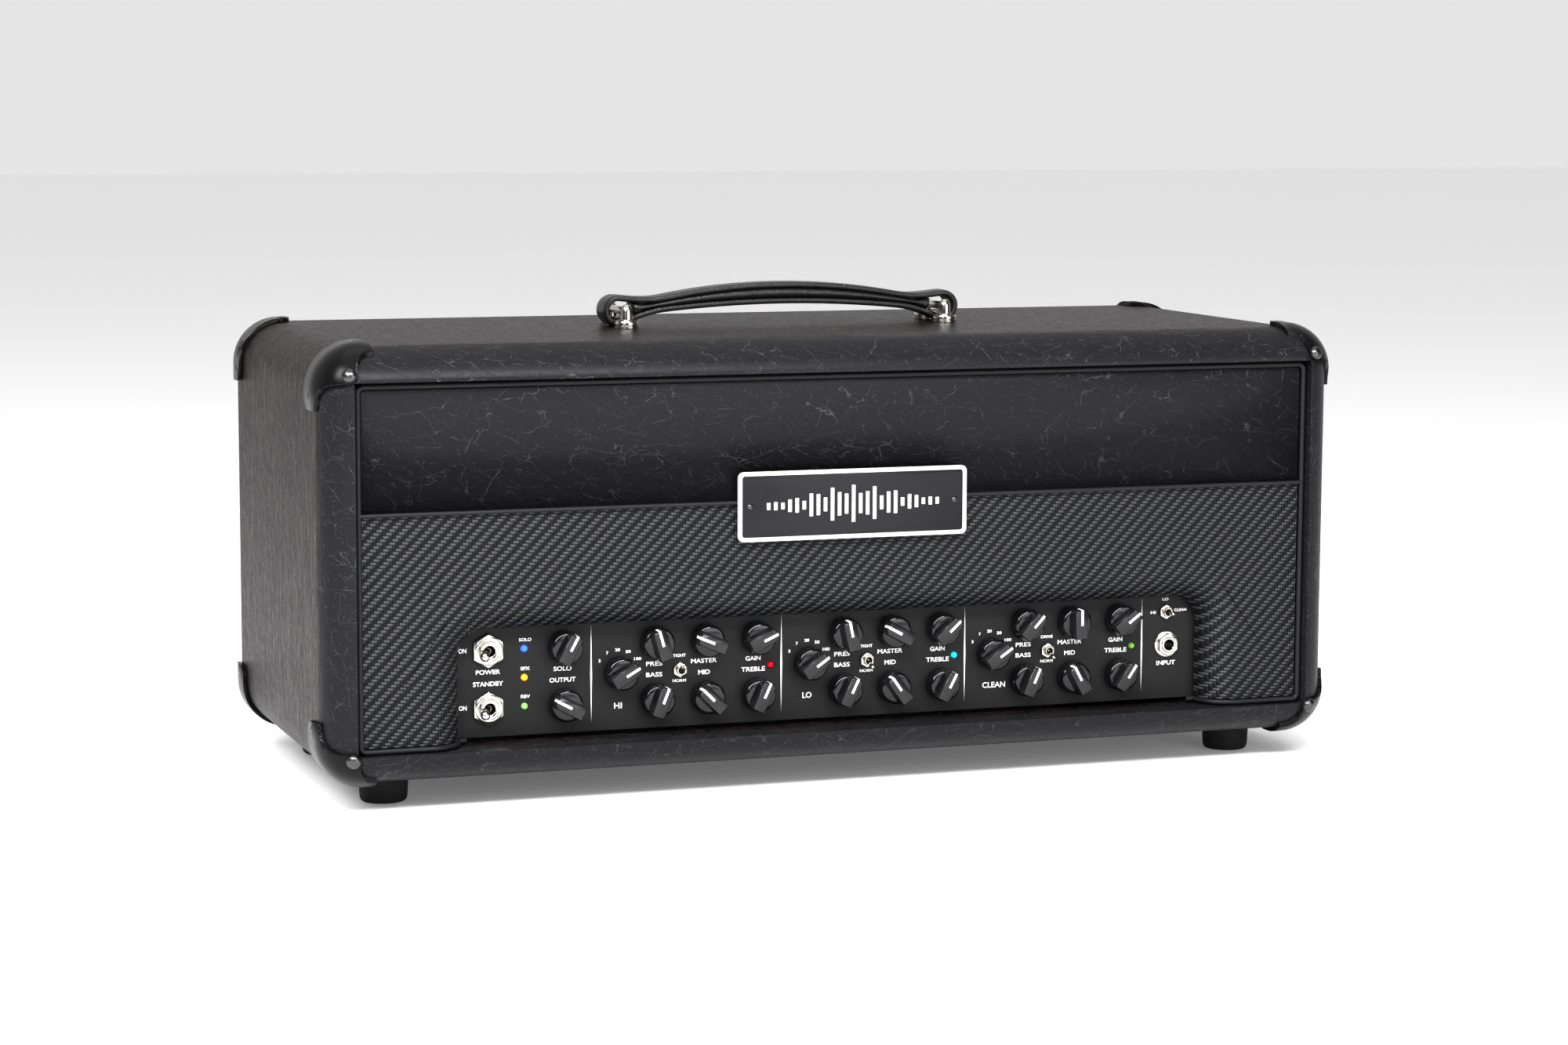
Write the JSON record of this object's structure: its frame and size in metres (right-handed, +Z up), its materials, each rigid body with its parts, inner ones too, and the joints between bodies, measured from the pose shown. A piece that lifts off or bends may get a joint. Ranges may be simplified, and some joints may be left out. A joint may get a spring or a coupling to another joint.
{
  "type": "guitar amp head",
  "caption": "Covered ply amp head with a front control panel of pointer knobs, toggles and an input socket, valves and transformers inside, corner guards, feet and a strap handle.",
  "frame": {"origin": "centre of the footprint, at the underside of the feet", "axes": "+Z up, the control panel faces -Y, +X is the right-hand side seen from the front"},
  "size_m": [0.636, 0.2728, 0.2936],
  "materials": {
    "vinyl": "plywood under black embossed vinyl, satin",
    "weave": "plywood under black twill-woven covering",
    "piping": "extruded black welt, satin",
    "badge": "dark plate with a light edge",
    "guard": "moulded black, satin",
    "rubber": "matte black",
    "chrome": "polished plating",
    "leather": "black, padded and stitched",
    "panel": "dark grey powder coat",
    "knob": "glossy black",
    "circuit": "green circuit board with its parts",
    "moulded": "black moulded or coated",
    "glass": "clear envelopes over grey electrodes",
    "steel": "dark grey painted laminations and end bells"
  },
  "bodies": {
    "cabinet": {"cabinet_shell": "vinyl", "fascia_board": "weave", "fascia_piping": "piping", "badge_plate": "badge", "top_front_left_guard": "guard", "top_front_right_guard": "guard", "top_rear_left_guard": "guard", "top_rear_right_guard": "guard", "bottom_front_left_guard": "guard", "bottom_front_right_guard": "guard", "bottom_rear_left_guard": "guard", "bottom_rear_right_guard": "guard", "front_left_foot": "rubber", "front_right_foot": "rubber", "rear_left_foot": "rubber", "rear_right_foot": "rubber", "left_handle_mount": "chrome", "right_handle_mount": "chrome", "chassis": "panel", "control_board": "circuit", "power_switch_body": "chrome", "standby_switch_body": "chrome", "input_jack": "chrome", "rear_jack_board": "circuit", "mains_inlet": "moulded", "power_valves": "glass", "preamp_valves": "glass", "mains_transformer": "steel", "output_transformer": "steel", "rear_grille": "moulded"},
    "solo_knob": {"solo_knob": "knob"},
    "output_knob": {"output_knob": "knob"},
    "hi_selector_knob": {"hi_selector_knob": "knob"},
    "hi_presence_knob": {"hi_presence_knob": "knob"},
    "hi_master_knob": {"hi_master_knob": "knob"},
    "hi_gain_knob": {"hi_gain_knob": "knob"},
    "hi_bass_knob": {"hi_bass_knob": "knob"},
    "hi_mid_knob": {"hi_mid_knob": "knob"},
    "hi_treble_knob": {"hi_treble_knob": "knob"},
    "lo_selector_knob": {"lo_selector_knob": "knob"},
    "lo_presence_knob": {"lo_presence_knob": "knob"},
    "lo_master_knob": {"lo_master_knob": "knob"},
    "lo_gain_knob": {"lo_gain_knob": "knob"},
    "lo_bass_knob": {"lo_bass_knob": "knob"},
    "lo_mid_knob": {"lo_mid_knob": "knob"},
    "lo_treble_knob": {"lo_treble_knob": "knob"},
    "clean_selector_knob": {"clean_selector_knob": "knob"},
    "clean_presence_knob": {"clean_presence_knob": "knob"},
    "clean_master_knob": {"clean_master_knob": "knob"},
    "clean_gain_knob": {"clean_gain_knob": "knob"},
    "clean_bass_knob": {"clean_bass_knob": "knob"},
    "clean_mid_knob": {"clean_mid_knob": "knob"},
    "clean_treble_knob": {"clean_treble_knob": "knob"},
    "power_lever": {"power_lever": "chrome"},
    "standby_lever": {"standby_lever": "chrome"},
    "hi_voice_lever": {"hi_voice_lever": "chrome"},
    "lo_voice_lever": {"lo_voice_lever": "chrome"},
    "clean_voice_lever": {"clean_voice_lever": "chrome"},
    "channel_lever": {"channel_lever": "chrome"},
    "handle_strap": {"handle_strap": "leather"}
  },
  "joints": [
    {"name": "solo_turn", "type": "hinge", "parent": "cabinet", "child": "solo_knob", "pos_m": [-0.1696, -0.1079, 0.0894], "axis": [0, 1, 0], "range_deg": [-179, 121]},
    {"name": "output_turn", "type": "hinge", "parent": "cabinet", "child": "output_knob", "pos_m": [-0.1696, -0.1079, 0.0556], "axis": [0, 1, 0], "range_deg": [-89, 211]},
    {"name": "hi_selector_turn", "type": "hinge", "parent": "cabinet", "child": "hi_selector_knob", "pos_m": [-0.1358, -0.1079, 0.0725], "axis": [0, 1, 0], "range_deg": [-120, 0]},
    {"name": "hi_presence_turn", "type": "hinge", "parent": "cabinet", "child": "hi_presence_knob", "pos_m": [-0.1137, -0.1079, 0.0894], "axis": [0, 1, 0], "range_deg": [-134, 166]},
    {"name": "hi_master_turn", "type": "hinge", "parent": "cabinet", "child": "hi_master_knob", "pos_m": [-0.0827, -0.1079, 0.0894], "axis": [0, 1, 0], "range_deg": [-83, 217]},
    {"name": "hi_gain_turn", "type": "hinge", "parent": "cabinet", "child": "hi_gain_knob", "pos_m": [-0.0512, -0.1079, 0.0894], "axis": [0, 1, 0], "range_deg": [-216, 84]},
    {"name": "hi_bass_turn", "type": "hinge", "parent": "cabinet", "child": "hi_bass_knob", "pos_m": [-0.1137, -0.1079, 0.0556], "axis": [0, 1, 0], "range_deg": [-172, 128]},
    {"name": "hi_mid_turn", "type": "hinge", "parent": "cabinet", "child": "hi_mid_knob", "pos_m": [-0.0827, -0.1079, 0.0556], "axis": [0, 1, 0], "range_deg": [-105, 195]},
    {"name": "hi_treble_turn", "type": "hinge", "parent": "cabinet", "child": "hi_treble_knob", "pos_m": [-0.0512, -0.1079, 0.0556], "axis": [0, 1, 0], "range_deg": [-175, 125]},
    {"name": "lo_selector_turn", "type": "hinge", "parent": "cabinet", "child": "lo_selector_knob", "pos_m": [-0.0183, -0.1079, 0.0725], "axis": [0, 1, 0], "range_deg": [-115, 5]},
    {"name": "lo_presence_turn", "type": "hinge", "parent": "cabinet", "child": "lo_presence_knob", "pos_m": [0.0038, -0.1079, 0.0894], "axis": [0, 1, 0], "range_deg": [-138, 162]},
    {"name": "lo_master_turn", "type": "hinge", "parent": "cabinet", "child": "lo_master_knob", "pos_m": [0.0348, -0.1079, 0.0894], "axis": [0, 1, 0], "range_deg": [-89, 211]},
    {"name": "lo_gain_turn", "type": "hinge", "parent": "cabinet", "child": "lo_gain_knob", "pos_m": [0.0663, -0.1079, 0.0894], "axis": [0, 1, 0], "range_deg": [-197, 103]},
    {"name": "lo_bass_turn", "type": "hinge", "parent": "cabinet", "child": "lo_bass_knob", "pos_m": [0.0038, -0.1079, 0.0556], "axis": [0, 1, 0], "range_deg": [-176, 124]},
    {"name": "lo_mid_turn", "type": "hinge", "parent": "cabinet", "child": "lo_mid_knob", "pos_m": [0.0348, -0.1079, 0.0556], "axis": [0, 1, 0], "range_deg": [-115, 185]},
    {"name": "lo_treble_turn", "type": "hinge", "parent": "cabinet", "child": "lo_treble_knob", "pos_m": [0.0663, -0.1079, 0.0556], "axis": [0, 1, 0], "range_deg": [-178, 122]},
    {"name": "clean_selector_turn", "type": "hinge", "parent": "cabinet", "child": "clean_selector_knob", "pos_m": [0.0992, -0.1079, 0.0725], "axis": [0, 1, 0], "range_deg": [-116, 4]},
    {"name": "clean_presence_turn", "type": "hinge", "parent": "cabinet", "child": "clean_presence_knob", "pos_m": [0.1213, -0.1079, 0.0894], "axis": [0, 1, 0], "range_deg": [-192, 108]},
    {"name": "clean_master_turn", "type": "hinge", "parent": "cabinet", "child": "clean_master_knob", "pos_m": [0.1523, -0.1079, 0.0894], "axis": [0, 1, 0], "range_deg": [-150, 150]},
    {"name": "clean_gain_turn", "type": "hinge", "parent": "cabinet", "child": "clean_gain_knob", "pos_m": [0.1838, -0.1079, 0.0894], "axis": [0, 1, 0], "range_deg": [-203, 97]},
    {"name": "clean_bass_turn", "type": "hinge", "parent": "cabinet", "child": "clean_bass_knob", "pos_m": [0.1213, -0.1079, 0.0556], "axis": [0, 1, 0], "range_deg": [-174, 126]},
    {"name": "clean_mid_turn", "type": "hinge", "parent": "cabinet", "child": "clean_mid_knob", "pos_m": [0.1523, -0.1079, 0.0556], "axis": [0, 1, 0], "range_deg": [-122, 178]},
    {"name": "clean_treble_turn", "type": "hinge", "parent": "cabinet", "child": "clean_treble_knob", "pos_m": [0.1838, -0.1079, 0.0556], "axis": [0, 1, 0], "range_deg": [-184, 116]},
    {"name": "power_throw", "type": "hinge", "parent": "cabinet", "child": "power_lever", "pos_m": [-0.2153, -0.1084, 0.0894], "axis": [0, 0, 1], "range_deg": [0, 38]},
    {"name": "standby_throw", "type": "hinge", "parent": "cabinet", "child": "standby_lever", "pos_m": [-0.2153, -0.1084, 0.0556], "axis": [0, 0, 1], "range_deg": [0, 38]},
    {"name": "hi_voice_throw", "type": "hinge", "parent": "cabinet", "child": "hi_voice_lever", "pos_m": [-0.099, -0.1098, 0.0725], "axis": [1, 0, 0], "range_deg": [0, 40]},
    {"name": "lo_voice_throw", "type": "hinge", "parent": "cabinet", "child": "lo_voice_lever", "pos_m": [0.0185, -0.1098, 0.0725], "axis": [1, 0, 0], "range_deg": [-40, 0]},
    {"name": "clean_voice_throw", "type": "hinge", "parent": "cabinet", "child": "clean_voice_lever", "pos_m": [0.136, -0.1098, 0.0725], "axis": [1, 0, 0], "range_deg": [-40, 0]},
    {"name": "channel_throw", "type": "hinge", "parent": "cabinet", "child": "channel_lever", "pos_m": [0.2152, -0.1098, 0.0927], "axis": [0, 0, 1], "range_deg": [-20, 20]},
    {"name": "strap_lift", "type": "slide", "parent": "cabinet", "child": "handle_strap", "axis": [0, 0, 1], "range_m": [0, 0.002]}
  ]
}
